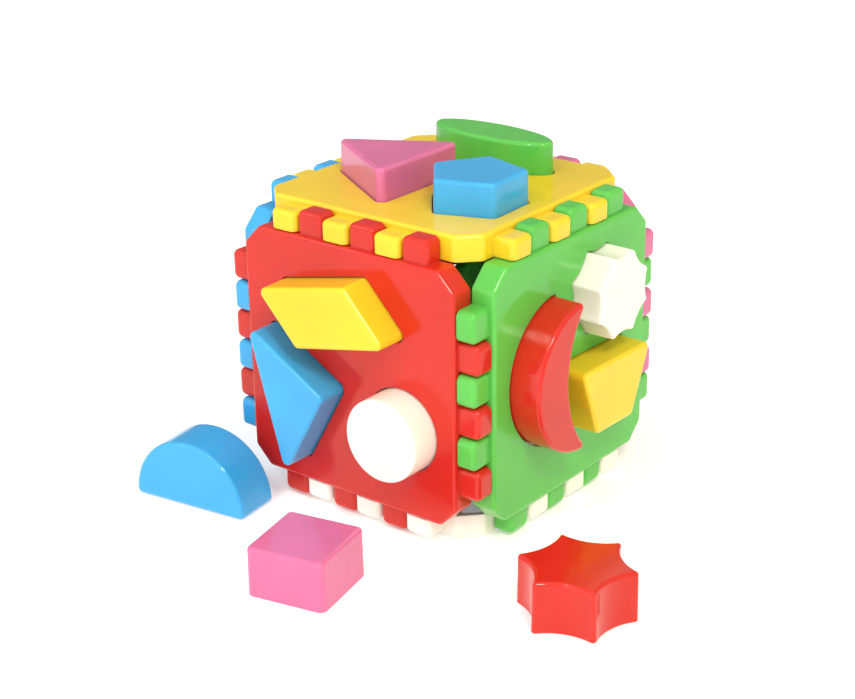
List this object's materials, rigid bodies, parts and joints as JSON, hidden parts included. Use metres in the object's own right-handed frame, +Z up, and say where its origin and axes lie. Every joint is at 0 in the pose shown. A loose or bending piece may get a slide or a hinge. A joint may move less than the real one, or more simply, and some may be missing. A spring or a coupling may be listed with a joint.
{
  "type": "shape sorter",
  "caption": "Toddler puzzle cube: interlocking tabbed panels with shaped holes, and hollow coloured blocks that fit through the matching holes.",
  "frame": {"origin": "centre of the bottom panel's outer face, on the floor", "axes": "+Z up; +X out of the green panel, -Y out of the red panel"},
  "size_m": [0.2204, 0.2054, 0.137],
  "materials": {
    "red_plastic": "glossy injection-moulded plastic",
    "green_plastic": "glossy injection-moulded plastic",
    "blue_plastic": "glossy injection-moulded plastic",
    "yellow_plastic": "glossy injection-moulded plastic",
    "pink_plastic": "glossy injection-moulded plastic",
    "white_plastic": "glossy injection-moulded plastic"
  },
  "bodies": {
    "bottom_panel": {"bottom_panel": "white_plastic", "bottom_panel_rim": "white_plastic"},
    "top_panel": {"top_panel": "yellow_plastic", "top_panel_rim": "yellow_plastic"},
    "triangle_block": {"triangle_block": "pink_plastic"},
    "pentagon_block": {"pentagon_block": "blue_plastic"},
    "oval_block": {"oval_block": "green_plastic"},
    "front_panel": {"front_panel": "red_plastic", "front_panel_rim": "red_plastic"},
    "parallelogram_block": {"parallelogram_block": "yellow_plastic"},
    "right_triangle_block": {"right_triangle_block": "blue_plastic"},
    "round_block": {"round_block": "white_plastic"},
    "right_panel": {"right_panel": "green_plastic", "right_panel_rim": "green_plastic"},
    "eight_point_star_block": {"eight_point_star_block": "white_plastic"},
    "crescent_block": {"crescent_block": "red_plastic"},
    "trapezoid_block": {"trapezoid_block": "yellow_plastic"},
    "back_panel": {"back_panel": "pink_plastic", "back_panel_rim": "pink_plastic"},
    "rectangle_block": {"rectangle_block": "white_plastic"},
    "quarter_round_block": {"quarter_round_block": "red_plastic"},
    "clover_block": {"clover_block": "green_plastic"},
    "left_panel": {"left_panel": "blue_plastic", "left_panel_rim": "blue_plastic"},
    "hexagon_block": {"hexagon_block": "green_plastic"},
    "heart_block": {"heart_block": "pink_plastic"},
    "cross_block": {"cross_block": "yellow_plastic"},
    "half_round_block": {"half_round_block": "blue_plastic"},
    "square_block": {"square_block": "pink_plastic"},
    "six_point_star_block": {"six_point_star_block": "red_plastic"}
  },
  "joints": [
    {"name": "top_panel_slide", "type": "slide", "parent": "bottom_panel", "child": "top_panel", "axis": [0, 0, 1], "range_m": [0, 0.025]},
    {"name": "triangle_block_slide", "type": "slide", "parent": "top_panel", "child": "triangle_block", "axis": [0, 0, 1], "range_m": [-0.01, 0.009]},
    {"name": "pentagon_block_slide", "type": "slide", "parent": "top_panel", "child": "pentagon_block", "axis": [0, 0, 1], "range_m": [-0.01, 0.009]},
    {"name": "oval_block_slide", "type": "slide", "parent": "top_panel", "child": "oval_block", "axis": [0, 0, 1], "range_m": [-0.01, 0.009]},
    {"name": "front_panel_slide", "type": "slide", "parent": "bottom_panel", "child": "front_panel", "axis": [0, -1, 0], "range_m": [0, 0.007]},
    {"name": "parallelogram_block_slide", "type": "slide", "parent": "front_panel", "child": "parallelogram_block", "axis": [0, -1, 0], "range_m": [-0.01, 0.009]},
    {"name": "right_triangle_block_slide", "type": "slide", "parent": "front_panel", "child": "right_triangle_block", "axis": [0, -1, 0], "range_m": [-0.01, 0.009]},
    {"name": "round_block_slide", "type": "slide", "parent": "front_panel", "child": "round_block", "axis": [0, -1, 0], "range_m": [-0.01, 0.009]},
    {"name": "right_panel_slide", "type": "slide", "parent": "bottom_panel", "child": "right_panel", "axis": [1, 0, 0], "range_m": [0, 0.025]},
    {"name": "eight_point_star_block_slide", "type": "slide", "parent": "right_panel", "child": "eight_point_star_block", "axis": [1, 0, 0], "range_m": [-0.01, 0.009]},
    {"name": "crescent_block_slide", "type": "slide", "parent": "right_panel", "child": "crescent_block", "axis": [1, 0, 0], "range_m": [-0.01, 0.009]},
    {"name": "trapezoid_block_slide", "type": "slide", "parent": "right_panel", "child": "trapezoid_block", "axis": [1, 0, 0], "range_m": [-0.01, 0.009]},
    {"name": "back_panel_slide", "type": "slide", "parent": "bottom_panel", "child": "back_panel", "axis": [0, 1, 0], "range_m": [0, 0.025]},
    {"name": "rectangle_block_slide", "type": "slide", "parent": "back_panel", "child": "rectangle_block", "axis": [0, 1, 0], "range_m": [-0.01, 0.009]},
    {"name": "quarter_round_block_slide", "type": "slide", "parent": "back_panel", "child": "quarter_round_block", "axis": [0, 1, 0], "range_m": [-0.01, 0.009]},
    {"name": "clover_block_slide", "type": "slide", "parent": "back_panel", "child": "clover_block", "axis": [0, 1, 0], "range_m": [-0.01, 0.009]},
    {"name": "left_panel_slide", "type": "slide", "parent": "bottom_panel", "child": "left_panel", "axis": [-1, 0, 0], "range_m": [0, 0.025]},
    {"name": "hexagon_block_slide", "type": "slide", "parent": "left_panel", "child": "hexagon_block", "axis": [-1, 0, 0], "range_m": [-0.01, 0.009]},
    {"name": "heart_block_slide", "type": "slide", "parent": "left_panel", "child": "heart_block", "axis": [-1, 0, 0], "range_m": [-0.01, 0.009]},
    {"name": "cross_block_slide", "type": "slide", "parent": "left_panel", "child": "cross_block", "axis": [-1, 0, 0], "range_m": [-0.01, 0.009]},
    {"name": "half_round_block_lift", "type": "slide", "parent": "bottom_panel", "child": "half_round_block", "axis": [0, 0, 1], "range_m": [0, 0.03]},
    {"name": "square_block_lift", "type": "slide", "parent": "bottom_panel", "child": "square_block", "axis": [0, 0, 1], "range_m": [0, 0.03]},
    {"name": "six_point_star_block_lift", "type": "slide", "parent": "bottom_panel", "child": "six_point_star_block", "axis": [0, 0, 1], "range_m": [0, 0.03]}
  ]
}
